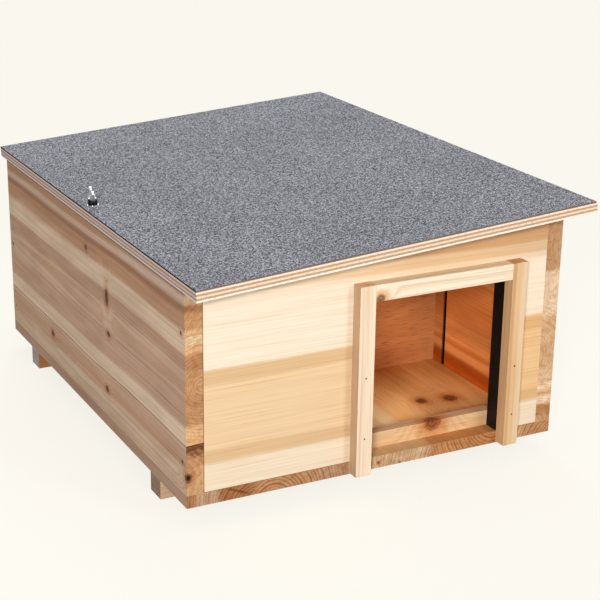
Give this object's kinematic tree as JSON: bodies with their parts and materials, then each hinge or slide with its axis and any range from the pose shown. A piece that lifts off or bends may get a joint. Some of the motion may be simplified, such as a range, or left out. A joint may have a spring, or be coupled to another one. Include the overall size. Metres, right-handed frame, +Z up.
{
  "type": "hedgehog house",
  "caption": "Wooden hedgehog house on foot battens: framed doorway, inner partition and a felted sloping lid that hinges open at the high side and is held shut by a wing nut.",
  "frame": {"origin": "centre of the bounding box in plan, at ground level under the foot battens", "axes": "+Z up, -Y out of the doorway, +X towards the high, hinged side of the lid"},
  "size_m": [0.4338, 0.585, 0.2764],
  "materials": {
    "board_timber": "clear-oiled edge-glued softwood board with knots",
    "batten_timber": "planed softwood batten",
    "roof_plywood": "softwood plywood",
    "partition_plywood": "reddish rotary-cut plywood",
    "roofing_felt": "grey mineral-surfaced bitumen felt",
    "zinc_hardware": "bright zinc-plated steel",
    "steel_nail": "dull steel"
  },
  "bodies": {
    "house": {"base_board": "board_timber", "front_foot": "batten_timber", "back_foot": "batten_timber", "left_wall": "board_timber", "right_wall": "board_timber", "front_wall": "board_timber", "back_wall": "board_timber", "partition": "partition_plywood", "door_sill": "batten_timber", "left_door_post": "batten_timber", "right_door_post": "batten_timber", "door_lintel": "batten_timber", "lid_stud": "zinc_hardware", "front_hinge_wall_leaf": "zinc_hardware", "front_hinge_pin": "zinc_hardware", "back_hinge_wall_leaf": "zinc_hardware", "back_hinge_pin": "zinc_hardware", "hinge_wall_screws": "zinc_hardware", "wall_nails": "steel_nail", "frame_brads": "steel_nail", "base_screws": "zinc_hardware", "foot_screws": "zinc_hardware", "partition_nails": "steel_nail"},
    "lid": {"roof_board": "roof_plywood", "roof_felt": "roofing_felt", "lid_washer": "zinc_hardware", "front_hinge_lid_leaf": "zinc_hardware", "back_hinge_lid_leaf": "zinc_hardware", "hinge_lid_screws": "zinc_hardware"},
    "nut": {"wing_nut": "zinc_hardware"}
  },
  "joints": [
    {"name": "lid_hinge", "type": "hinge", "parent": "house", "child": "lid", "pos_m": [0.20033, 0, 0.2606], "axis": [0, 1, 0], "range_deg": [0, 105]},
    {"name": "wing_nut_spin", "type": "hinge", "parent": "lid", "child": "nut", "pos_m": [-0.20605, -0.0005, 0.24726], "axis": [-0.0724, 0, 0.9974], "continuous": true}
  ]
}
